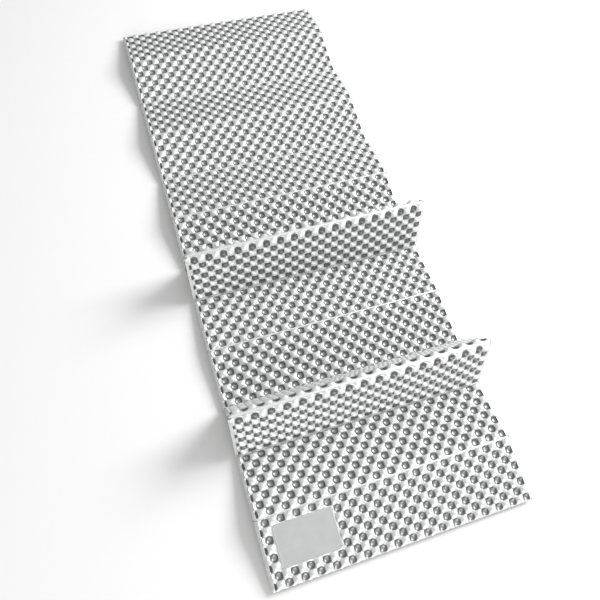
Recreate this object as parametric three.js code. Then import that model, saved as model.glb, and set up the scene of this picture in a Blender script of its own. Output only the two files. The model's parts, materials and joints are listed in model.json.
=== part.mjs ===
// Foam sleeping pad that folds up like an accordion, half opened out on the ground.
//
// Millimetres, +Z up. X runs across the pad and the labelled end faces -Y. The origin
// is on the ground under the middle of the pad's outline.
//
// Panels are numbered from the far end. Each pair of panels leans on a ridge fold, like
// a tent, and stands in valley folds that lie flat on the ground. At a valley the foam
// bends at two pressed creases on the foil side, so the foil sides close on each other.
// At a ridge it bends at one crease, just below the foam side.

import * as THREE from 'three';

// ---- Driving dimensions ----
const PAD_WIDTH = 560;
const PANEL_PITCH = 131; // from fold to fold along the sheet
const SHEET_THICKNESS = 7.9; // foam and foil, between two parallel surfaces
const PAD_THICKNESS = 18; // from the lowest bump to the highest
const CREASE_WIDTH = 1.6; // pressed line left between two panels
const TENT_TILTS = [11, 10, 10, 75, 5, 71, 10]; // lean of each pair of panels, degrees
const GAP = 0.3; // clearance between neighbouring pieces

const FOIL_THICKNESS = 0.2;
const END_CORNER_RADIUS = 6;

const VALLEY_RIB_WIDTH = 15; // row of bumps that a valley fold rests on
const VALLEY_RIB_ROUNDING = 3;

const LABEL_LENGTH = 122; // across the pad
const LABEL_HEIGHT = 80; // along the pad
const LABEL_THICKNESS = 1;
const LABEL_CORNER_RADIUS = 7;
const LABEL_FROM_SIDE = 30;
const LABEL_FROM_FOLD = 17;

const BAND_LENGTH = 240; // loop lying flat, end to end
const BAND_WIDTH = 20;
const BAND_WEBBING = 1.1;
const BAND_INNER_GAP = 0.8;
const BAND_FROM_CENTRE = 130;

// ---- Worked out from them ----
const HALF_CREASE = CREASE_WIDTH / 2;
const INNER_SPAN = PANEL_PITCH - CREASE_WIDTH; // width of a panel between two folds
const END_SPAN = PANEL_PITCH - HALF_CREASE; // width of a panel at the pad's end
const BUMP_HEIGHT = (PAD_THICKNESS - SHEET_THICKNESS) / 2; // beyond the sheet's surface
const GROUND_TO_CREASE = PAD_THICKNESS - BUMP_HEIGHT; // up to a valley's crease
const FOAM_THICKNESS = SHEET_THICKNESS - FOIL_THICKNESS - GAP;
const TENT_COUNT = TENT_TILTS.length;

const FINISHES = {
  foam: { color: 0x5d6238, roughness: 0.85, metalness: 0 },
  foil: { color: 0xc7cacc, roughness: 0.35, metalness: 0.8 },
  label: { color: 0xc8c9c7, roughness: 0.5, metalness: 0 },
  elastic: { color: 0x17181a, roughness: 0.9, metalness: 0 },
};

function makeMesh(name, geometry, finish) {
  const mesh = new THREE.Mesh(geometry, new THREE.MeshStandardMaterial(FINISHES[finish]));
  mesh.name = name;
  return mesh;
}

function numbered(name, number) {
  return `${name}_${String(number).padStart(2, '0')}`;
}

// ---- Outlines ----

// Rectangle with four corner radii, in the order near left, near right, far right, far left.
function roundedRectangle(left, right, near, far, radii) {
  const shape = new THREE.Shape();
  const corners = [
    [left, near, Math.PI],
    [right, near, -Math.PI / 2],
    [right, far, 0],
    [left, far, Math.PI / 2],
  ];
  corners.forEach(([x, y, start], corner) => {
    const radius = radii[corner];
    if (radius === 0) {
      shape[corner === 0 ? 'moveTo' : 'lineTo'](x, y);
      return;
    }
    const centreX = x + (x === left ? radius : -radius);
    const centreY = y + (y === near ? radius : -radius);
    shape.absarc(centreX, centreY, radius, start, start + Math.PI / 2, false);
  });
  shape.closePath();
  return shape;
}

function plate(shape, bottom, thickness) {
  const settings = { depth: thickness, bevelEnabled: false, curveSegments: 6 };
  return new THREE.ExtrudeGeometry(shape, settings).translate(0, 0, bottom);
}

// Profile drawn in Y and Z, and run across the pad along X.
function acrossPad(profile, width, curveSegments) {
  const settings = { depth: width, bevelEnabled: false, curveSegments };
  const profileToYZ = new THREE.Matrix4().set(0, 0, 1, 0, 1, 0, 0, 0, 0, 1, 0, 0, 0, 0, 0, 1);
  const geometry = new THREE.ExtrudeGeometry(profile, settings);
  return geometry.translate(0, 0, -width / 2).applyMatrix4(profileToYZ);
}

// ---- Panels ----

// A panel turns about its ridge crease, at y = 0 and z = 0. It starts half a crease away
// from it, and runs towards +Y when side is 1 and towards -Y when side is -1.
function panelOutline(side, isEnd) {
  const span = isEnd ? END_SPAN : INNER_SPAN;
  const near = side > 0 ? HALF_CREASE : -HALF_CREASE - span;
  const far = near + span;
  const radius = isEnd ? END_CORNER_RADIUS : 0;
  const nearRadius = side > 0 ? 0 : radius;
  const farRadius = side > 0 ? radius : 0;
  const radii = [nearRadius, nearRadius, farRadius, farRadius];
  return roundedRectangle(-PAD_WIDTH / 2, PAD_WIDTH / 2, near, far, radii);
}

function makePanel(number, side) {
  const isEnd = number === 1 || number === 2 * TENT_COUNT;
  const outline = panelOutline(side, isEnd);
  const panel = new THREE.Group();
  const foam = plate(outline, HALF_CREASE, FOAM_THICKNESS);
  const foil = plate(outline, HALF_CREASE + FOAM_THICKNESS + GAP, FOIL_THICKNESS);
  panel.add(makeMesh(numbered('foam_panel', number), foam, 'foam'));
  panel.add(makeMesh(numbered('foil_face', number), foil, 'foil'));
  return panel;
}

function makeLabel() {
  const left = LABEL_FROM_SIDE - PAD_WIDTH / 2;
  const far = -LABEL_FROM_FOLD;
  const radii = new Array(4).fill(LABEL_CORNER_RADIUS);
  const outline = roundedRectangle(left, left + LABEL_LENGTH, far - LABEL_HEIGHT, far, radii);
  const geometry = plate(outline, HALF_CREASE + SHEET_THICKNESS + GAP, LABEL_THICKNESS);
  return makeMesh('label_patch', geometry, 'label');
}

// ---- Folds ----

// The thread of foam that a ridge bends about.
function makeRidgeFold(number) {
  const radius = HALF_CREASE - GAP;
  const geometry = new THREE.CylinderGeometry(radius, radius, PAD_WIDTH, 10);
  return makeMesh(numbered('ridge_fold', number), geometry.rotateZ(Math.PI / 2), 'foam');
}

// A thin upright between two panels, and the rib of bumps beyond the sheet. The creases
// are at z = 0 and the rib is towards +Z.
function valleyProfile() {
  const upright = HALF_CREASE - GAP;
  const half = VALLEY_RIB_WIDTH / 2;
  const ribBase = SHEET_THICKNESS + GAP;
  const ribTop = SHEET_THICKNESS + BUMP_HEIGHT;
  const radius = VALLEY_RIB_ROUNDING;
  const profile = new THREE.Shape();
  profile.moveTo(-upright, 0);
  profile.lineTo(upright, 0);
  profile.lineTo(upright, ribBase);
  profile.lineTo(half, ribBase);
  profile.absarc(half - radius, ribTop - radius, radius, 0, Math.PI / 2, false);
  profile.absarc(radius - half, ribTop - radius, radius, Math.PI / 2, Math.PI, false);
  profile.lineTo(-half, ribBase);
  profile.lineTo(-upright, ribBase);
  profile.closePath();
  return profile;
}

function makeValleyFold(number) {
  const curveSegments = 5;
  const geometry = acrossPad(valleyProfile(), PAD_WIDTH, curveSegments);
  return makeMesh(numbered('valley_fold', number), geometry, 'foam');
}

// ---- Packing bands ----

// A stitched elastic loop, lying flat on the ground.
function makeBand(name, side) {
  const height = 2 * BAND_WEBBING + BAND_INNER_GAP;
  const loop = stadium(BAND_LENGTH, height);
  loop.holes.push(stadium(BAND_LENGTH - 2 * BAND_WEBBING, BAND_INNER_GAP));
  const settings = { depth: BAND_WIDTH, bevelEnabled: false, curveSegments: 8 };
  const geometry = new THREE.ExtrudeGeometry(loop, settings);
  geometry.rotateX(Math.PI / 2).translate(0, BAND_WIDTH / 2, height / 2);
  const band = makeMesh(name, geometry, 'elastic');
  band.position.x = side * BAND_FROM_CENTRE;
  return band;
}

function stadium(length, height) {
  const radius = height / 2;
  const centre = length / 2 - radius;
  const shape = new THREE.Shape();
  shape.absarc(centre, 0, radius, -Math.PI / 2, Math.PI / 2, false);
  shape.absarc(-centre, 0, radius, Math.PI / 2, (3 * Math.PI) / 2, false);
  shape.closePath();
  return shape;
}

// ---- The whole pad ----

// How far one tent reaches from its ridge crease to a valley crease or the pad's end, and
// how high the ridge crease stands, for one lean.
function tentShape(tiltDegrees) {
  const tilt = THREE.MathUtils.degToRad(tiltDegrees);
  const along = HALF_CREASE + INNER_SPAN;
  const alongEnd = HALF_CREASE + END_SPAN;
  const across = HALF_CREASE + SHEET_THICKNESS;
  const reach = along * Math.cos(tilt) + across * Math.sin(tilt);
  const endReach = alongEnd * Math.cos(tilt) + across * Math.sin(tilt);
  const height = GROUND_TO_CREASE + along * Math.sin(tilt) - across * Math.cos(tilt);
  return { tilt, reach, endReach, height };
}

function padLength(tents) {
  const inner = tents.reduce((sum, tent) => sum + 2 * tent.reach, 0);
  const folds = (tents.length - 1) * CREASE_WIDTH;
  const first = tents[0];
  const last = tents[tents.length - 1];
  return inner + folds + first.endReach - first.reach + last.endReach - last.reach;
}

function makeTent(tent, index, ridgeY) {
  const group = new THREE.Group();
  group.position.set(0, ridgeY, tent.height);
  for (const side of [1, -1]) {
    const number = 2 * index + (side > 0 ? 1 : 2);
    const panel = makePanel(number, side);
    panel.rotation.x = -side * tent.tilt;
    if (number === 2 * TENT_COUNT) {
      panel.add(makeLabel());
    }
    group.add(panel);
  }
  group.add(makeRidgeFold(2 * index + 1));
  return group;
}

function makeValley(index, valleyY) {
  const fold = makeValleyFold(2 * index + 2);
  fold.position.set(0, valleyY, GROUND_TO_CREASE);
  fold.rotation.x = Math.PI;
  return fold;
}

function makePad() {
  const pad = new THREE.Group();
  const tents = TENT_TILTS.map(tentShape);
  let y = padLength(tents) / 2;
  tents.forEach((tent, index) => {
    const isFirst = index === 0;
    const isLast = index === tents.length - 1;
    const ridgeY = y - (isFirst ? tent.endReach : tent.reach);
    pad.add(makeTent(tent, index, ridgeY));
    const valleyY = ridgeY - tent.reach - HALF_CREASE;
    if (isLast) {
      for (const [name, side] of [['packing_band_left', -1], ['packing_band_right', 1]]) {
        const band = makeBand(name, side);
        band.position.y = ridgeY;
        pad.add(band);
      }
    } else {
      pad.add(makeValley(index, valleyY));
      y = valleyY - HALF_CREASE;
    }
  });
  return pad;
}

export default makePad();
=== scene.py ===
# Foam sleeping pad that folds like an accordion: egg-crate foam with a silver film,
# its pressed folds, a plain patch and two packing bands, on a pale studio floor.

import json
import math

import bpy
import numpy as np
from bpy.props import FloatProperty, FloatVectorProperty, IntProperty, PointerProperty
from mathutils import Matrix, Vector


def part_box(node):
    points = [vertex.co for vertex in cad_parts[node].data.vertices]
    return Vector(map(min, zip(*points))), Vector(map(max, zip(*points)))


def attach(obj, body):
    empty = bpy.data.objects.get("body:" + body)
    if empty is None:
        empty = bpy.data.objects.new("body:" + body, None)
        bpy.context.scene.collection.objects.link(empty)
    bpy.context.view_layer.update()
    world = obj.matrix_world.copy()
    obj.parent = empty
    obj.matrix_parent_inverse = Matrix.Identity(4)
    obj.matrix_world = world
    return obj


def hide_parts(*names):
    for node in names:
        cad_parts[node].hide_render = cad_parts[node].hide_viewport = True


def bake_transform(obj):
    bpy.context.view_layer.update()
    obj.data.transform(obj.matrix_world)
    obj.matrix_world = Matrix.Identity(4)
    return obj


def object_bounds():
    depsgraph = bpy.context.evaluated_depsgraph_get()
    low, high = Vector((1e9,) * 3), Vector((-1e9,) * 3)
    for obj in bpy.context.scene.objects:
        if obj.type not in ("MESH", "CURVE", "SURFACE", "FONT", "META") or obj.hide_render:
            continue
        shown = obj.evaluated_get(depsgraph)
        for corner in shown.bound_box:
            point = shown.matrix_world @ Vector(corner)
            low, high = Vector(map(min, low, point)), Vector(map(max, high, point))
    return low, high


bl_info = {
    "name": "Folding Foam Sleeping Pad",
    "version": (1, 0, 0),
    "blender": (4, 5, 0),
    "location": "3D View > Sidebar > Sleeping Pad",
    "description": "Builds an accordion-fold egg-crate foam pad round its packed frame",
    "category": "Add Mesh",
}

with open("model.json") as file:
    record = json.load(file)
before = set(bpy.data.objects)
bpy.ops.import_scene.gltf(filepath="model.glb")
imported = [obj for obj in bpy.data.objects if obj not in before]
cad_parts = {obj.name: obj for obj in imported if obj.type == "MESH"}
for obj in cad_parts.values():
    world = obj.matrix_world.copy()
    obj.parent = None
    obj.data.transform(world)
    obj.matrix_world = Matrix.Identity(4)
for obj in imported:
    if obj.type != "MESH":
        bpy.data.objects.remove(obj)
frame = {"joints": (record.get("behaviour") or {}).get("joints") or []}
CAD_LOW, CAD_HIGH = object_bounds()
JOINTS = {joint["name"]: joint for joint in frame["joints"]}
TENTS = sum(name.endswith("_ridge_crease") for name in JOINTS)
PANELS = 2 * TENTS
MM = 0.001


# ---- Settings ----


class SleepingPadSettings(bpy.types.PropertyGroup):
    """Sizes and colours of the pad"""

    panel_pitch: FloatProperty(
        name="Panel pitch",
        description="From fold to fold along the sheet",
        default=131 * MM,
        unit="LENGTH",
        subtype="DISTANCE",
    )
    sheet_thickness: FloatProperty(
        name="Sheet thickness",
        description="Foam and film together, measured straight up",
        default=7.9 * MM,
        unit="LENGTH",
        subtype="DISTANCE",
    )
    upper_relief: FloatProperty(
        name="Upper relief",
        description="How far bumps rise and dimples sink on the filmed face",
        default=4.8 * MM,
        unit="LENGTH",
        subtype="DISTANCE",
    )
    lower_relief: FloatProperty(
        name="Lower relief",
        description="How far bumps rise and dimples sink on the underside, which the pad rests on",
        default=5.0 * MM,
        unit="LENGTH",
        subtype="DISTANCE",
    )
    crease_width: FloatProperty(
        name="Crease width",
        description="Pressed line between two panels",
        default=1.6 * MM,
        unit="LENGTH",
        subtype="DISTANCE",
    )
    rows_per_panel: IntProperty(
        name="Rows per panel",
        description="Rows of dimples between two folds",
        default=8,
        min=2,
    )
    bump_gap: FloatProperty(
        name="Bump gap",
        description="From a dimple to the bump beside it, across the pad",
        default=16.0 * MM,
        unit="LENGTH",
        subtype="DISTANCE",
    )
    bump_shift: FloatProperty(
        name="Bump shift",
        description="How far the middle column of bumps lies from the middle of the pad",
        default=-4.3 * MM,
        unit="LENGTH",
        subtype="DISTANCE",
    )
    dimple_radius: FloatProperty(
        name="Dimple radius",
        description="To the steepest part of a dimple's wall",
        default=7.0 * MM,
        unit="LENGTH",
        subtype="DISTANCE",
    )
    margin: FloatProperty(
        name="Side margin",
        description="Plain strip along each long edge",
        default=6.9 * MM,
        unit="LENGTH",
        subtype="DISTANCE",
    )
    mesh_steps: IntProperty(
        name="Mesh steps",
        description="Mesh steps from a dimple to the bump beside it",
        default=8,
        min=4,
    )
    film_colour: FloatVectorProperty(
        name="Film colour",
        description="Silver film on the upper face",
        default=(0.88, 0.89, 0.89),
        size=3,
        min=0,
        max=1,
        subtype="COLOR",
    )
    foam_colour: FloatVectorProperty(
        name="Foam colour",
        description="Olive closed-cell foam",
        default=(0.125, 0.155, 0.080),
        size=3,
        min=0,
        max=1,
        subtype="COLOR",
    )
    patch_colour: FloatVectorProperty(
        name="Patch colour",
        description="Plain patch near one corner",
        default=(0.45, 0.46, 0.46),
        size=3,
        min=0,
        max=1,
        subtype="COLOR",
    )
    band_colour: FloatVectorProperty(
        name="Band colour",
        description="Elastic packing bands",
        default=(0.012, 0.012, 0.014),
        size=3,
        min=0,
        max=1,
        subtype="COLOR",
    )
    floor_colour: FloatVectorProperty(
        name="Floor colour",
        description="Plain studio floor",
        default=(0.86, 0.86, 0.86),
        size=3,
        min=0,
        max=1,
        subtype="COLOR",
    )


# ---- Where the pad's own parts are, from the frame ----


def ridge_axis(tent):
    """Y and Z of a ridge's crease, and how far its two panels lean, in radians."""
    joint = JOINTS[f"tent_{tent}_ridge_crease"]
    _, y, z = joint["pos_m"]
    return y, z, math.radians(joint["range_deg"][1] / 2)


def valley_line(number):
    """Y and Z of the middle of a valley fold, on the sheet's upper face."""
    low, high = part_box(f"valley_fold_{number:02d}")
    return (low.y + high.y) / 2, high.z


def smooth_step(value, start, end):
    share = np.clip((value - start) / (end - start), 0, 1)
    return share * share * (3 - 2 * share)


# ---- The sheet laid out flat ----
#
# Places on the flat sheet are x, across the pad, and s, along it from the far end. Heights
# are from the underside of the sheet without its bumps.

FILM = 0.2 * MM
GLUE_GAP = 0.05 * MM

# A fold piece reaches this far to each side of its fold.
RIDGE_REACH = 8.2 * MM
VALLEY_REACH = 4.1 * MM

# The pressed line of a fold, deeper on the side that closes, and how a ridge is pressed in.
CREASE_DEPTH = 1.5 * MM
CREASE_FAINT_DEPTH = 0.5 * MM
CREASE_WALL = 1.8 * MM, 0.9 * MM
RIDGE_SINK = 2.2 * MM

# The cut edges, which are pinched thinner.
SIDE_PINCH = 2.4 * MM
SIDE_PINCH_REACH = 4.4 * MM
END_PINCH = 1.9 * MM
END_PINCH_WALL = 3.4 * MM, 0.2 * MM
END_LIFT = 3.2 * MM
END_LIFT_WALL = 6.5 * MM, 0.5 * MM

# Where the bumps run out: distances at which this starts and is done.
MARGIN_WALL = 0.9 * MM
PATCH_WALL = 2.6 * MM, 0.8 * MM
FOLD_WALL = 3.6 * MM, 0.4 * MM
END_WALL = 6.5 * MM, 1.5 * MM

PATCH_RADIUS = 7 * MM
PATCH_THICKNESS = 1 * MM
WALL_STEEPNESS = 3.6  # higher makes flatter middles and steeper walls

# On the painted shade depth, plain stretches count as a little higher than halfway, so the painted
# shade leaves them bright.
FOLD_RISE = 0.2
MARGIN_RISE = 0.06

# Dimples of panels that lean more than this have no painted reflection in their middles, only
# painted shade.
STEEP_LEAN = math.radians(30)
STEEP_PAINTED_SHADE_LIMIT = 0.78

# Mesh lines beside a long edge, counted from it, and beside a fold piece.
MARGIN_LINES = np.array([4.6, 3.2, 1.8, 0.5, 0]) * MM
MARGIN_CLEARANCE = 0.6 * MM
FOLD_LINES = np.array([0.25, 0.8]) * MM
RIDGE_STEPS = 32
VALLEY_STEPS = 10


def across(pad):
    """Mesh lines across the pad: even over the bumps, then out over the margins."""
    half = (CAD_HIGH.x - CAD_LOW.x) / 2
    step = pad.bump_gap / pad.mesh_steps
    inner = half - pad.margin - MARGIN_CLEARANCE
    first = math.ceil((-inner - pad.bump_shift) / step)
    last = math.floor((inner - pad.bump_shift) / step)
    middle = pad.bump_shift + np.arange(first, last + 1) * step
    outer = half - np.array([pad.margin, pad.margin - MARGIN_WALL, *MARGIN_LINES])
    return np.concatenate([-outer[::-1], middle, outer])


def along(pad, start, end, fine_start, fine_end):
    """Mesh lines along the sheet, closer together at an end that meets a fold piece."""
    step = pad.panel_pitch / pad.rows_per_panel / pad.mesh_steps
    count = round((end - start) / step)
    lines = np.linspace(start, end, count + 1)
    extra = []
    if fine_start:
        extra.append(start + FOLD_LINES)
    if fine_end:
        extra.append(end - FOLD_LINES)
    return np.unique(np.concatenate([lines, *extra]))


def round_shape(pad, x, s, parity):
    """1 in the middle of each round bump or dimple, falling to 0 past its steep wall. The
    two kinds of shape lie like the two colours of a chessboard, told apart by parity."""
    row = pad.panel_pitch / pad.rows_per_panel
    column = (x - pad.bump_shift) / pad.bump_gap + parity
    line = s / row - 0.5
    along_one, along_other = (column + line) / 2, (column - line) / 2
    off_one = along_one - np.round(along_one)
    off_other = along_other - np.round(along_other)
    away = np.hypot(pad.bump_gap * (off_one + off_other), row * (off_one - off_other))
    return np.exp(-((away / pad.dimple_radius) ** WALL_STEEPNESS))


def bumps(pad, x, s):
    """Height of the egg-crate relief, from -1 in a dimple to 1 on a bump."""
    return round_shape(pad, x, s, 1) - round_shape(pad, x, s, 0)


def patch_area():
    """Middle and half size of the patch on the flat sheet, as x and distance from a fold."""
    y, z, lean = ridge_axis(TENTS)
    low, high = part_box("label_patch")
    reach = (high.y - low.y - PATCH_THICKNESS * math.sin(lean)) / math.cos(lean)
    middle_y, middle_z = (low.y + high.y) / 2, (low.z + high.z) / 2
    distance = (y - middle_y) * math.cos(lean) - (middle_z - z) * math.sin(lean)
    return (low.x + high.x) / 2, distance, (high.x - low.x) / 2, reach / 2


def distance_from_patch(pad, x, s):
    """How far a place lies outside the patch's outline. It is negative inside it."""
    middle_x, from_fold, half_x, half_s = patch_area()
    middle_s = (PANELS - 1) * pad.panel_pitch + from_fold
    over_x = np.abs(x - middle_x) - (half_x - PATCH_RADIUS)
    over_s = np.abs(s - middle_s) - (half_s - PATCH_RADIUS)
    outside = np.hypot(np.maximum(over_x, 0), np.maximum(over_s, 0))
    return outside + np.minimum(np.maximum(over_x, over_s), 0) - PATCH_RADIUS


def plain_stretches(pad, x, s):
    """How plain the sheet is, 0 to 1: beside its long edges, its patch and its folds."""
    from_side = (CAD_HIGH.x - CAD_LOW.x) / 2 - np.abs(x)
    fold = np.round(s / pad.panel_pitch)
    from_fold = np.abs(s - fold * pad.panel_pitch)
    beside_edge = smooth_step(from_side, pad.margin, pad.margin - MARGIN_WALL)
    beside_patch = smooth_step(distance_from_patch(pad, x, s), *PATCH_WALL)
    beside_fold = smooth_step(from_fold, *FOLD_WALL)
    return beside_edge, beside_patch, beside_fold


def pinched_edges(x, from_end):
    """How far the cut edges bring the upper face down and the lower face up."""
    from_side = (CAD_HIGH.x - CAD_LOW.x) / 2 - np.abs(x)
    side = SIDE_PINCH * smooth_step(from_side, SIDE_PINCH_REACH, 0)
    upper = np.maximum(side, END_PINCH * smooth_step(from_end, *END_PINCH_WALL))
    lower = np.maximum(side, END_LIFT * smooth_step(from_end, *END_LIFT_WALL))
    return upper, lower


def pressed_creases(pad, s):
    """How far the folds bring the upper face down and the lower face up."""
    fold = np.round(s / pad.panel_pitch)
    from_fold = np.abs(s - fold * pad.panel_pitch)
    is_inner = (fold > 0) & (fold < PANELS)
    is_ridge = fold % 2 == 1
    groove = np.where(is_inner, smooth_step(from_fold, *CREASE_WALL), 0)
    sink = RIDGE_SINK * np.where(is_ridge, smooth_step(from_fold, RIDGE_REACH, 0), 0)
    upper = sink + groove * np.where(is_ridge, CREASE_FAINT_DEPTH, CREASE_DEPTH)
    lower = groove * np.where(is_ridge, CREASE_DEPTH, CREASE_FAINT_DEPTH)
    return upper, lower


def painted_shade_when_steep(pad, s, painted_shade_depth):
    """Takes the painted reflection out of the middles of the dimples of steep panels and puts
    painted shade there.
    """
    leans = np.array([ridge_axis(tent)[2] for tent in range(1, TENTS + 1)])
    tent = np.clip((s / (2 * pad.panel_pitch)).astype(int), 0, TENTS - 1)
    return np.where(leans[tent] > STEEP_LEAN, np.minimum(painted_shade_depth, STEEP_PAINTED_SHADE_LIMIT), painted_shade_depth)


def sheet_heights(pad, x, s):
    """Heights of the upper and lower faces, and how hollow the upper face is, 0 to 1, which sets
    the film's painted shade.
    """
    x, s = x[None, :], s[:, None]
    from_end = np.minimum(s, PANELS * pad.panel_pitch - s)
    beside_edge, beside_patch, beside_fold = plain_stretches(pad, x, s)
    upper_pinch, lower_pinch = pinched_edges(x, from_end)
    upper_press, lower_press = pressed_creases(pad, s)

    wave = bumps(pad, x, s) * (1 - beside_edge) * (1 - beside_fold)
    beside_end = smooth_step(from_end, *END_WALL)
    lower = pad.lower_relief * np.where(wave < 0, wave * (1 - beside_end), wave)
    wave = wave * (1 - beside_patch)
    upper = pad.sheet_thickness + pad.upper_relief * wave

    # Depth that sets the film's painted shade and painted reflection: 0 on a bump, 1 in a dimple
    plain = np.maximum(beside_fold, beside_patch) * (1 - beside_edge)
    painted_shade_depth = (1 - wave) / 2 - FOLD_RISE * plain - MARGIN_RISE * beside_edge
    painted_shade_depth = painted_shade_when_steep(pad, s, painted_shade_depth)
    return upper - upper_pinch - upper_press, lower + lower_pinch + lower_press, painted_shade_depth


# ---- The sheet folded up ----


def on_panel(pad, number, x, s, height):
    """Points of a flat, leaning panel."""
    tent = (number + 1) // 2
    side = 1 if number % 2 else -1
    y, z, lean = ridge_axis(tent)
    from_ridge = (number * pad.panel_pitch - s) if side > 0 else s - (number - 1) * pad.panel_pitch
    above = height + pad.crease_width / 2
    points = np.empty(height.shape + (3,))
    points[..., 0] = x[None, :]
    points[..., 1] = y + side * (from_ridge[:, None] * math.cos(lean) + above * math.sin(lean))
    points[..., 2] = z - from_ridge[:, None] * math.sin(lean) + above * math.cos(lean)
    return points


def round_ridge(pad, tent, x, from_fold, height, share):
    """Points of a fold piece that turns over a ridge. The share goes from the far panel's
    lean at 0 to the near panel's at 1."""
    y, z, lean = ridge_axis(tent)
    turn = (lean * (1 - 2 * share))[:, None]
    back = -from_fold[:, None]
    above = height + pad.crease_width / 2
    points = np.empty(height.shape + (3,))
    points[..., 0] = x[None, :]
    points[..., 1] = y + back * np.cos(turn) + above * np.sin(turn)
    points[..., 2] = z - back * np.sin(turn) + above * np.cos(turn)
    return points


def round_valley(pad, number, side, x, from_fold, height, share):
    """Points of half a valley's fold piece. Side is 1 for its far half. The share goes from
    the panel's lean at 0 to level at 1."""
    y, z = valley_line(number)
    _, _, lean = ridge_axis(number // 2 + (0 if side > 0 else 1))
    turn = (lean * (1 - share))[:, None]
    half = pad.crease_width / 2
    out = (np.abs(from_fold) - half)[:, None]
    above = height - pad.sheet_thickness
    points = np.empty(height.shape + (3,))
    points[..., 0] = x[None, :]
    points[..., 1] = y + side * (half + out * np.cos(turn) - above * np.sin(turn))
    points[..., 2] = z + out * np.sin(turn) + above * np.cos(turn)
    return points


# ---- Meshes ----


def closed_faces(rows, columns):
    """Quads of a closed sheet: upper face, lower face and the four cut edges."""
    upper = np.arange(rows * columns).reshape(rows, columns)
    lower = upper + rows * columns

    def quads(a, b, c, d):
        return np.stack([a.ravel(), b.ravel(), c.ravel(), d.ravel()], axis=1)

    return np.concatenate(
        [
            quads(upper[:-1, :-1], upper[1:, :-1], upper[1:, 1:], upper[:-1, 1:]),
            quads(lower[:-1, :-1], lower[:-1, 1:], lower[1:, 1:], lower[1:, :-1]),
            quads(upper[0, :-1], upper[0, 1:], lower[0, 1:], lower[0, :-1]),
            quads(upper[-1, 1:], upper[-1, :-1], lower[-1, :-1], lower[-1, 1:]),
            quads(upper[1:, 0], upper[:-1, 0], lower[:-1, 0], lower[1:, 0]),
            quads(upper[:-1, -1], upper[1:, -1], lower[1:, -1], lower[:-1, -1]),
        ]
    )


SHEET_SHARP_ANGLE = 50
UNDERSIDE_PLACE = 0.05  # keeps the grain of the underside apart from that of the upper face


def add_object(name, points, faces, material, sharp_angle=SHEET_SHARP_ANGLE):
    """New smooth-shaded mesh object with sharp edges kept where faces turn sharply."""
    mesh = bpy.data.meshes.new(name)
    mesh.from_pydata(points, [], faces)
    mesh.shade_smooth()
    mesh.set_sharp_from_angle(angle=math.radians(sharp_angle))
    mesh.materials.append(material)
    piece = bpy.data.objects.new(name, mesh)
    bpy.context.scene.collection.objects.link(piece)
    return piece


def store_places(piece, places):
    """Gives a piece's points the places that its material reads."""
    stored = piece.data.attributes.new("sheet_place", "FLOAT_VECTOR", "POINT")
    stored.data.foreach_set("vector", np.asarray(places, np.float32).ravel())


def add_sheet(name, upper, lower, x, s, painted_shade_depth, material):
    """A closed sheet that knows where on the flat sheet each of its points is."""
    rows, columns = painted_shade_depth.shape
    points = np.concatenate([upper.reshape(-1, 3), lower.reshape(-1, 3)])
    piece = add_object(name, points, closed_faces(rows, columns), material)
    place = np.zeros((2, rows, columns, 3), np.float32)
    place[..., 0] = x[None, None, :]
    place[..., 1] = s[None, :, None]
    place[1, ..., 2] = UNDERSIDE_PLACE
    store_places(piece, place)
    # The depth that sets the film's painted shade, kept on every point
    depth = np.concatenate([painted_shade_depth.ravel(), painted_shade_depth.ravel()]).astype(np.float32)
    stored = piece.data.attributes.new("painted_shade_depth", "FLOAT", "POINT")
    stored.data.foreach_set("value", depth)
    return piece


def film_and_foam(pad, names, x, s, place, materials):
    """The film and the foam over one stretch of the sheet. Place turns heights to points."""
    upper, lower, painted_shade_depth = sheet_heights(pad, x, s)
    film_base = upper - FILM
    foam_top = film_base - GLUE_GAP
    film = add_sheet(names[0], place(upper), place(film_base), x, s, painted_shade_depth, materials[0])
    foam = add_sheet(names[1], place(foam_top), place(lower), x, s, painted_shade_depth, materials[1])
    return film, foam


# ---- Materials ----


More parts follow.
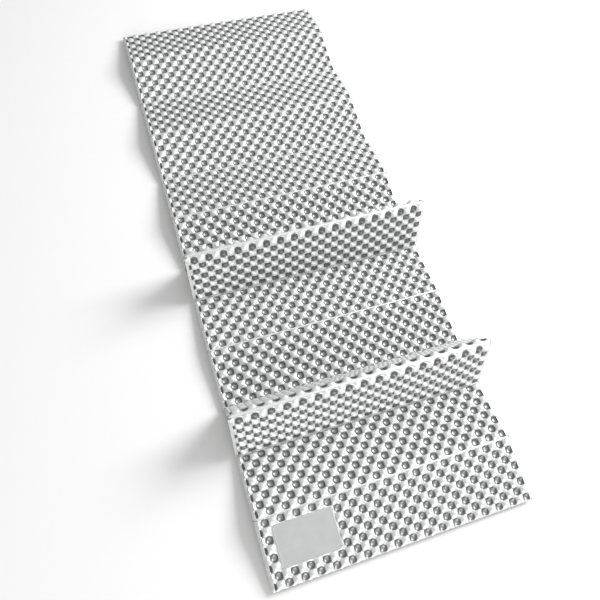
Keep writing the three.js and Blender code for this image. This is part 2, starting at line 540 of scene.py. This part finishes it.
class Nodes:
    """A new material's node tree, with short ways to add and link its nodes."""

    def __init__(self, name):
        self.material = bpy.data.materials.get(name) or bpy.data.materials.new(name)
        self.material.use_nodes = True
        self.tree = self.material.node_tree
        self.tree.nodes.clear()
        self.output = self.tree.nodes.new("ShaderNodeOutputMaterial")
        self.shader = self.tree.nodes.new("ShaderNodeBsdfPrincipled")
        self.link(self.shader.outputs["BSDF"], self.output.inputs["Surface"])

    def link(self, source, target):
        self.tree.links.new(source, target)

    def attribute(self, name, output="Vector"):
        node = self.tree.nodes.new("ShaderNodeAttribute")
        node.attribute_name = name
        return node.outputs[output]

    def noise(self, place, scale, detail=2.0, roughness=0.5):
        node = self.tree.nodes.new("ShaderNodeTexNoise")
        node.inputs["Scale"].default_value = scale
        node.inputs["Detail"].default_value = detail
        node.inputs["Roughness"].default_value = roughness
        self.link(place, node.inputs["Vector"])
        return node.outputs["Fac"]

    def voronoi(self, place, scale, feature="F1"):
        node = self.tree.nodes.new("ShaderNodeTexVoronoi")
        node.feature = feature
        node.inputs["Scale"].default_value = scale
        self.link(place, node.inputs["Vector"])
        return node.outputs["Distance"]

    def wave(self, place, scale, direction, distortion=0.0):
        node = self.tree.nodes.new("ShaderNodeTexWave")
        node.bands_direction = direction
        node.inputs["Scale"].default_value = scale
        node.inputs["Distortion"].default_value = distortion
        self.link(place, node.inputs["Vector"])
        return node.outputs["Fac"]

    def axis(self, vector, name):
        node = self.tree.nodes.new("ShaderNodeSeparateXYZ")
        self.link(vector, node.inputs["Vector"])
        return node.outputs[name]

    def math(self, operation, first, second):
        node = self.tree.nodes.new("ShaderNodeMath")
        node.operation = operation
        for socket, value in zip(node.inputs, (first, second)):
            if isinstance(value, (int, float)):
                socket.default_value = value
            else:
                self.link(value, socket)
        return node.outputs["Value"]

    def ramp(self, value, stops):
        """Colours at given places from 0 to 1."""
        node = self.tree.nodes.new("ShaderNodeValToRGB")
        elements = node.color_ramp.elements
        while len(elements) < len(stops):
            elements.new(0.5)
        for element, (position, colour) in zip(elements, stops):
            element.position = position
            element.color = (*colour, 1)
        self.link(value, node.inputs["Fac"])
        return node.outputs["Color"]

    def bump(self, height, distance, strength=1.0, normal=None):
        node = self.tree.nodes.new("ShaderNodeBump")
        node.inputs["Distance"].default_value = distance
        node.inputs["Strength"].default_value = strength
        self.link(height, node.inputs["Height"])
        if normal is not None:
            self.link(normal, node.inputs["Normal"])
        return node.outputs["Normal"]


def shade(colour, factor):
    return tuple(min(1.0, channel * factor) for channel in colour)


# Painted light on the film, set by its painted shade depth: bright on the bumps, painted shade on
# the walls of the dimples, and a painted reflection of overhead light in their lighter middles.
FILM_PAINTED_SHADE_TONES = (
    (0.36, 1.00),
    (0.50, 0.74),
    (0.58, 0.26),
    (0.68, 0.20),
    (0.82, 0.24),
    (0.94, 0.44),
    (1.00, 0.52),
)
FILM_MOTTLE = 0.16
# Painted shade in the creases: place, width and tone of the lines beside every fold
CREASE_LINE_PLACE = 1.4 * MM  # from the middle of a fold
CREASE_LINE_WIDTH = 0.8 * MM
CREASE_SHADE_TONE = 0.3


def crease_shade_lines(nodes, pad, place):
    """Thin broken lines of painted shade to both sides of every fold, from 0 to the tone of a
    line.
    """
    from_fold = nodes.math("PINGPONG", nodes.axis(place, "Y"), pad.panel_pitch / 2)
    beside = nodes.math("SUBTRACT", from_fold, CREASE_LINE_PLACE)
    from_line = nodes.math("ABSOLUTE", beside, 0)
    line = nodes.math("SUBTRACT", 1, nodes.math("DIVIDE", from_line, CREASE_LINE_WIDTH))
    broken = nodes.math("MULTIPLY", nodes.noise(place, 160, 2), CREASE_SHADE_TONE)
    return nodes.math("MULTIPLY", nodes.math("MAXIMUM", line, 0), broken)


def film_material(pad):
    """Silver film pressed onto foam, its colour painted with light: bright on the bumps, darker in
    the dimples from painted shade with a painted reflection in their middles, and painted shade
    lines at the creases.
    """
    nodes = Nodes("silver_film")
    place = nodes.attribute("sheet_place")
    # Depth that sets the film's painted shade and painted reflection
    painted_shade_depth = nodes.attribute("painted_shade_depth", "Fac")
    cloud = nodes.noise(place, 110, 3)
    crinkle = nodes.noise(place, 420, 3, 0.55)
    mottle = nodes.math("MULTIPLY", nodes.math("SUBTRACT", cloud, 0.5), FILM_MOTTLE)
    crease = crease_shade_lines(nodes, pad, place)
    # Painted shade depth, with random mottle and the painted crease shade added
    depth = nodes.math("ADD", nodes.math("ADD", painted_shade_depth, mottle), crease)
    bright = tuple(pad.film_colour)
    stops = [(position, shade(bright, tone)) for position, tone in FILM_PAINTED_SHADE_TONES]
    nodes.link(nodes.ramp(depth, stops), nodes.shader.inputs["Base Color"])
    rough = nodes.math("ADD", 0.34, nodes.math("MULTIPLY", crinkle, 0.2))
    nodes.link(rough, nodes.shader.inputs["Roughness"])
    nodes.shader.inputs["Metallic"].default_value = 0.65
    nodes.shader.inputs["Specular Tint"].default_value = (0.35, 0.35, 0.35, 1)
    nodes.link(nodes.bump(crinkle, 0.15 * MM, 0.6), nodes.shader.inputs["Normal"])
    return nodes.material


def foam_material(pad):
    """Olive closed-cell foam with a fine pressed cross-hatch."""
    nodes = Nodes("olive_foam")
    place = nodes.attribute("sheet_place")
    weave_x = nodes.wave(place, 300, "X", 0.6)
    weave_y = nodes.wave(place, 300, "Y", 0.6)
    weave = nodes.math("MULTIPLY", weave_x, weave_y)
    cells = nodes.voronoi(place, 900)
    cloud = nodes.noise(place, 30, 4)
    weave_tone = nodes.math("MULTIPLY", weave, 0.45)
    tone = nodes.math("ADD", weave_tone, nodes.math("MULTIPLY", cloud, 0.6))
    colour = tuple(pad.foam_colour)
    stops = [(0.15, shade(colour, 0.62)), (0.5, colour), (0.85, shade(colour, 1.45))]
    nodes.link(nodes.ramp(tone, stops), nodes.shader.inputs["Base Color"])
    rough = nodes.math("ADD", 0.72, nodes.math("MULTIPLY", cells, 0.2))
    nodes.link(rough, nodes.shader.inputs["Roughness"])
    nodes.shader.inputs["Sheen Weight"].default_value = 0.15
    pressed = nodes.bump(weave, 0.25 * MM, 0.7)
    nodes.link(nodes.bump(cells, 0.12 * MM, 0.5, pressed), nodes.shader.inputs["Normal"])
    return nodes.material


def patch_material(pad):
    """Smooth satin film, pressed flat."""
    nodes = Nodes("satin_patch")
    place = nodes.attribute("sheet_place")
    cloud = nodes.noise(place, 35, 3)
    grain = nodes.noise(place, 1500, 3)
    colour = tuple(pad.patch_colour)
    stops = [(0.3, shade(colour, 0.95)), (0.7, shade(colour, 1.04))]
    nodes.link(nodes.ramp(cloud, stops), nodes.shader.inputs["Base Color"])
    rough = nodes.math("ADD", 0.42, nodes.math("MULTIPLY", grain, 0.12))
    nodes.link(rough, nodes.shader.inputs["Roughness"])
    nodes.link(nodes.bump(grain, 0.04 * MM, 0.5), nodes.shader.inputs["Normal"])
    return nodes.material


def band_material(pad):
    """Black braided elastic."""
    nodes = Nodes("black_elastic")
    place = nodes.attribute("sheet_place")
    braid = nodes.wave(place, 500, "X", 1.5)
    rib = nodes.wave(place, 260, "Y")
    weave = nodes.math("MULTIPLY", braid, rib)
    colour = tuple(pad.band_colour)
    stops = [(0.1, shade(colour, 0.6)), (0.9, shade(colour, 2.6))]
    nodes.link(nodes.ramp(weave, stops), nodes.shader.inputs["Base Color"])
    rough = nodes.math("ADD", 0.7, nodes.math("MULTIPLY", weave, 0.2))
    nodes.link(rough, nodes.shader.inputs["Roughness"])
    nodes.shader.inputs["Sheen Weight"].default_value = 0.3
    nodes.link(nodes.bump(weave, 0.2 * MM, 0.8), nodes.shader.inputs["Normal"])
    return nodes.material


def floor_material(pad):
    """Pale matte backdrop with a faint tooth."""
    nodes = Nodes("studio_floor")
    coordinates = nodes.tree.nodes.new("ShaderNodeTexCoord")
    tooth = nodes.noise(coordinates.outputs["Object"], 60, 3)
    colour = tuple(pad.floor_colour)
    stops = [(0.0, shade(colour, 0.99)), (1.0, shade(colour, 1.01))]
    nodes.link(nodes.ramp(tooth, stops), nodes.shader.inputs["Base Color"])
    nodes.shader.inputs["Roughness"].default_value = 0.85
    nodes.shader.inputs["Specular IOR Level"].default_value = 0.2
    return nodes.material


# ---- Operators ----


class SLEEPINGPAD_OT_panels(bpy.types.Operator):
    """Build the fourteen panels, each with its foam and its film"""

    bl_idname = "sleepingpad.panels"
    bl_label = "Panels"

    def execute(self, context):
        pad = context.scene.sleeping_pad
        materials = film_material(pad), foam_material(pad)
        x = across(pad)
        for number in range(1, PANELS + 1):
            start, end = (number - 1) * pad.panel_pitch, number * pad.panel_pitch
            has_far_fold, has_near_fold = number > 1, number < PANELS
            reaches = (VALLEY_REACH, RIDGE_REACH) if number % 2 else (RIDGE_REACH, VALLEY_REACH)
            start += reaches[0] * has_far_fold
            end -= reaches[1] * has_near_fold
            s = along(pad, start, end, has_far_fold, has_near_fold)

            def place(height, number=number, s=s):
                return on_panel(pad, number, x, s, height)

            names = f"panel_film_{number:02d}", f"panel_foam_{number:02d}"
            film, foam = film_and_foam(pad, names, x, s, place, materials)
            for piece, node in ((film, "foil_face"), (foam, "foam_panel")):
                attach(piece, f"panel_{number:02d}")
                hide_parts(f"{node}_{number:02d}")
        return {"FINISHED"}


class SLEEPINGPAD_OT_ridges(bpy.types.Operator):
    """Build the ridge folds, which turn over the top of each pair of panels"""

    bl_idname = "sleepingpad.ridges"
    bl_label = "Ridge folds"

    def execute(self, context):
        pad = context.scene.sleeping_pad
        materials = film_material(pad), foam_material(pad)
        x = across(pad)
        from_fold = np.linspace(-RIDGE_REACH, RIDGE_REACH, RIDGE_STEPS + 1)
        share = smooth_step(from_fold, -RIDGE_REACH, RIDGE_REACH)
        for tent in range(1, TENTS + 1):
            number = 2 * tent - 1
            s = number * pad.panel_pitch + from_fold

            def place(height, tent=tent):
                return round_ridge(pad, tent, x, from_fold, height, share)

            names = f"ridge_film_{number:02d}", f"ridge_foam_{number:02d}"
            film, foam = film_and_foam(pad, names, x, s, place, materials)
            middle = np.full((RIDGE_STEPS + 1, len(x)), pad.sheet_thickness / 2)
            points = place(middle)
            for piece in (film, foam):
                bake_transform(piece)
            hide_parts(f"ridge_fold_{number:02d}")
        return {"FINISHED"}


class SLEEPINGPAD_OT_valleys(bpy.types.Operator):
    """Build the valley folds, a far and a near half for each"""

    bl_idname = "sleepingpad.valleys"
    bl_label = "Valley folds"

    def execute(self, context):
        pad = context.scene.sleeping_pad
        materials = film_material(pad), foam_material(pad)
        x = across(pad)
        for number in range(2, PANELS, 2):
            for side, word, panel in ((1, "far", number), (-1, "near", number + 1)):
                out = np.linspace(VALLEY_REACH, 0, VALLEY_STEPS + 1)
                share = 1 - smooth_step(out, 0, VALLEY_REACH)
                from_fold = -side * out
                if side < 0:
                    from_fold, share = from_fold[::-1], share[::-1]
                s = number * pad.panel_pitch + from_fold

                def place(height, side=side, from_fold=from_fold, share=share):
                    return round_valley(pad, number, side, x, from_fold, height, share)

                names = f"valley_film_{number:02d}_{word}", f"valley_foam_{number:02d}_{word}"
                film, foam = film_and_foam(pad, names, x, s, place, materials)
                middle = np.full((VALLEY_STEPS + 1, len(x)), pad.sheet_thickness / 2)
                points = place(middle)
                for piece in (film, foam):
                    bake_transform(piece)
                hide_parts(f"valley_fold_{number:02d}")
        return {"FINISHED"}


# The patch's rim from its underside to its middle: how far in, and how high above the sheet.
PATCH_RIM = (
    (0.0, 0.3),
    (0.0, 0.9),
    (0.15, 1.15),
    (0.4, 1.25),
    (2.2, 1.25),
    (2.5, 1.05),
    (2.9, 1.05),
)
PATCH_CORNER_STEPS = 10
PATCH_SHARP_ANGLE = 35


def patch_outline(inset):
    """Rounded rectangle on the flat sheet, as x and distance from the last fold."""
    middle_x, middle_s, half_x, half_s = patch_area()
    corners = ((1, 1), (-1, 1), (-1, -1), (1, -1))
    outline = []
    for corner, (sign_x, sign_s) in enumerate(corners):
        centre_x = middle_x + sign_x * (half_x - PATCH_RADIUS)
        centre_s = middle_s + sign_s * (half_s - PATCH_RADIUS)
        for step in range(PATCH_CORNER_STEPS + 1):
            angle = math.pi / 2 * (corner + step / PATCH_CORNER_STEPS)
            x = centre_x + (PATCH_RADIUS - inset) * math.cos(angle)
            s = centre_s + (PATCH_RADIUS - inset) * math.sin(angle)
            outline.append((x, s))
    return outline


class SLEEPINGPAD_OT_patch(bpy.types.Operator):
    """Build the plain patch near the corner of the last panel"""

    bl_idname = "sleepingpad.patch"
    bl_label = "Plain patch"

    def execute(self, context):
        pad = context.scene.sleeping_pad
        y, z, lean = ridge_axis(TENTS)
        start = (PANELS - 1) * pad.panel_pitch
        points, places = [], []
        for inset, lift in PATCH_RIM:
            above = pad.sheet_thickness + pad.crease_width / 2 + lift * MM
            for x, out in patch_outline(inset * MM):
                point_y = y - out * math.cos(lean) - above * math.sin(lean)
                point_z = z - out * math.sin(lean) + above * math.cos(lean)
                points.append((x, point_y, point_z))
                places.append((x, start + out, 0))
        count = len(points) // len(PATCH_RIM)
        faces = [list(range(count))]
        for ring in range(len(PATCH_RIM) - 1):
            lower, upper = ring * count, (ring + 1) * count
            for step in range(count):
                after = (step + 1) % count
                faces.append([lower + after, lower + step, upper + step, upper + after])
        last = (len(PATCH_RIM) - 1) * count
        faces.append([last + step for step in reversed(range(count))])
        piece = add_object("plain_patch", points, faces, patch_material(pad), PATCH_SHARP_ANGLE)
        store_places(piece, places)
        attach(piece, f"panel_{PANELS:02d}")
        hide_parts("label_patch")
        return {"FINISHED"}


BAND_THICKNESS = 1.1 * MM
BAND_RIB_HEIGHT = 0.06 * MM
BAND_RIBS = 9
BAND_EDGE_POWER = 16  # how square the webbing's edges are
BAND_STRAIGHT_STEPS = 60
BAND_TURN_STEPS = 13
BAND_SHARP_ANGLE = 60


def band_path(half_length, radius):
    """Middle line of a webbing loop lying flat, as x and z round its centre."""
    straight = np.linspace(-half_length, half_length, BAND_STRAIGHT_STEPS)
    turn = np.linspace(-math.pi / 2, math.pi / 2, BAND_TURN_STEPS)[1:-1]
    level = np.full(BAND_STRAIGHT_STEPS, radius)
    end_x = half_length + radius * np.cos(turn)
    end_z = radius * np.sin(turn)
    path_x = np.concatenate([straight, end_x, straight[::-1], -end_x])
    path_z = np.concatenate([-level, end_z, level, -end_z])
    return path_x, path_z


def band_section():
    """Webbing cut across: from -1 to 1 over its width, and how far out its face lies."""
    across_band = np.linspace(-1, 1, 8 * BAND_RIBS + 1)
    rib = BAND_RIB_HEIGHT * np.cos(np.pi * BAND_RIBS * across_band)
    bulge = np.sqrt(np.clip(1 - np.abs(across_band) ** BAND_EDGE_POWER, 0, 1))
    face = BAND_THICKNESS / 2 * bulge
    face = face + rib * (face > 0)
    outer = list(zip(across_band, face))
    inner = list(zip(across_band[-2:0:-1], -face[-2:0:-1]))
    return outer + inner


class SLEEPINGPAD_OT_bands(bpy.types.Operator):
    """Build the two elastic packing bands, lying flat under the last tent"""

    bl_idname = "sleepingpad.bands"
    bl_label = "Packing bands"

    def execute(self, context):
        pad = context.scene.sleeping_pad
        material = band_material(pad)
        for word in ("left", "right"):
            low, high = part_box(f"packing_band_{word}")
            piece = self.build(f"band_webbing_{word}", low, high, material)
            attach(piece, f"band_{word}")
            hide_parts(f"packing_band_{word}")
        return {"FINISHED"}

    def build(self, name, low, high, material):
        radius = (high.z - low.z - BAND_THICKNESS) / 2 - BAND_RIB_HEIGHT
        half_length = (high.x - low.x - BAND_THICKNESS) / 2 - BAND_RIB_HEIGHT - radius
        path_x, path_z = band_path(half_length, radius)
        steps_along = np.hypot(np.diff(path_x), np.diff(path_z))
        run = np.concatenate([[0], np.cumsum(steps_along)])
        out_x = np.roll(path_z, -1) - np.roll(path_z, 1)
        out_z = np.roll(path_x, 1) - np.roll(path_x, -1)
        length = np.hypot(out_x, out_z)
        section = band_section()
        centre = (low + high) / 2
        half_width = (high.y - low.y) / 2
        points, places = [], []
        rows = zip(path_x, path_z, out_x / length, out_z / length, run)
        for along_x, along_z, normal_x, normal_z, distance in rows:
            for v, lift in section:
                x = centre.x + along_x + normal_x * lift
                z = centre.z + along_z + normal_z * lift
                points.append((x, centre.y + v * half_width, z))
                places.append((distance, v * half_width, lift))
        faces = self.faces(len(path_x), len(section))
        piece = add_object(name, points, faces, material, BAND_SHARP_ANGLE)
        store_places(piece, places)
        return piece

    def faces(self, steps, count):
        """Quads of a closed loop."""
        faces = []
        for step in range(steps):
            here, ahead = step * count, (step + 1) % steps * count
            for side in range(count):
                after = (side + 1) % count
                faces.append([here + side, ahead + side, ahead + after, here + after])
        return faces


# Where the camera looks, on the floor, and from where.
VIEW_TARGET = Vector((-0.0421, -0.1796, 0))
VIEW_DISTANCE = 1.3504
VIEW_AZIMUTH = math.radians(27.31)
VIEW_ELEVATION = math.radians(64.25)
VIEW_ROLL = math.radians(10.46)
LENS = 34.53
SENSOR = 36

FLOOR_HALF = 6

# Soft boxes: place, size and power.
SIDE_SOFTBOX = (2.8, 0.3, 2.15), 1.7, 148
FRONT_SOFTBOX = (-0.8, -4.6, 1.5), 2.6, 112
SKY_STRENGTH = 0.5


class SLEEPINGPAD_OT_stage(bpy.types.Operator):
    """Set up the floor, the soft light and the camera"""

    bl_idname = "sleepingpad.stage"
    bl_label = "Stage"

    def execute(self, context):
        pad = context.scene.sleeping_pad
        self.add_floor(pad)
        self.add_lights(context)
        self.add_camera(context)
        context.scene.view_settings.view_transform = "Standard"
        return {"FINISHED"}

    def add_floor(self, pad):
        half = FLOOR_HALF
        points = [(-half, -half, 0), (half, -half, 0), (half, half, 0), (-half, half, 0)]
        floor = add_object("studio_floor", points, [(0, 1, 2, 3)], floor_material(pad))

    def add_lights(self, context):
        world = bpy.data.worlds.new("studio")
        context.scene.world = world
        world.use_nodes = True
        background = world.node_tree.nodes["Background"]
        background.inputs["Color"].default_value = (1, 1, 1, 1)
        background.inputs["Strength"].default_value = SKY_STRENGTH
        self.add_area("side_softbox", *SIDE_SOFTBOX)
        self.add_area("front_softbox", *FRONT_SOFTBOX)

    def add_area(self, name, position, size, power):
        light = bpy.data.lights.new(name, "AREA")
        light.size = size
        light.energy = power
        lamp = bpy.data.objects.new(name, light)
        lamp.location = position
        lamp.rotation_euler = (-Vector(position)).to_track_quat("-Z", "Y").to_euler()
        bpy.context.scene.collection.objects.link(lamp)

    def add_camera(self, context):
        level = math.cos(VIEW_ELEVATION)
        back = Vector(
            (
                -level * math.sin(VIEW_AZIMUTH),
                -level * math.cos(VIEW_AZIMUTH),
                math.sin(VIEW_ELEVATION),
            )
        )
        right = (-back).cross(Vector((0, 0, 1))).normalized()
        up = right.cross(-back)
        rolled_right = math.cos(VIEW_ROLL) * right + math.sin(VIEW_ROLL) * up
        rolled_up = math.cos(VIEW_ROLL) * up - math.sin(VIEW_ROLL) * right
        data = bpy.data.cameras.new("camera")
        data.lens = LENS
        data.sensor_width = SENSOR
        camera = bpy.data.objects.new("camera", data)
        place = VIEW_TARGET + VIEW_DISTANCE * back
        turn = Matrix((rolled_right, rolled_up, back)).transposed()
        camera.matrix_world = Matrix.Translation(place) @ turn.to_4x4()
        context.scene.collection.objects.link(camera)
        context.scene.camera = camera


class SLEEPINGPAD_PT_sidebar(bpy.types.Panel):
    """Sleeping pad tools in the 3D view's sidebar"""

    bl_idname = "SLEEPINGPAD_PT_sidebar"
    bl_label = "Sleeping Pad"
    bl_space_type = "VIEW_3D"
    bl_region_type = "UI"
    bl_category = "Sleeping Pad"

    def draw(self, context):
        column = self.layout.column()
        for operator in OPERATORS:
            column.operator(operator.bl_idname)


OPERATORS = (
    SLEEPINGPAD_OT_stage,
    SLEEPINGPAD_OT_panels,
    SLEEPINGPAD_OT_ridges,
    SLEEPINGPAD_OT_valleys,
    SLEEPINGPAD_OT_patch,
    SLEEPINGPAD_OT_bands,
)
CLASSES = (SleepingPadSettings, *OPERATORS, SLEEPINGPAD_PT_sidebar)


def register():
    for item in CLASSES:
        bpy.utils.register_class(item)
    bpy.types.Scene.sleeping_pad = PointerProperty(type=SleepingPadSettings)


def unregister():
    del bpy.types.Scene.sleeping_pad
    for item in reversed(CLASSES):
        bpy.utils.unregister_class(item)


def main():
    register()
    bpy.ops.sleepingpad.stage()
    bpy.ops.sleepingpad.panels()
    bpy.ops.sleepingpad.ridges()
    bpy.ops.sleepingpad.valleys()
    bpy.ops.sleepingpad.patch()
    bpy.ops.sleepingpad.bands()


if __name__ == "__main__":
    main()
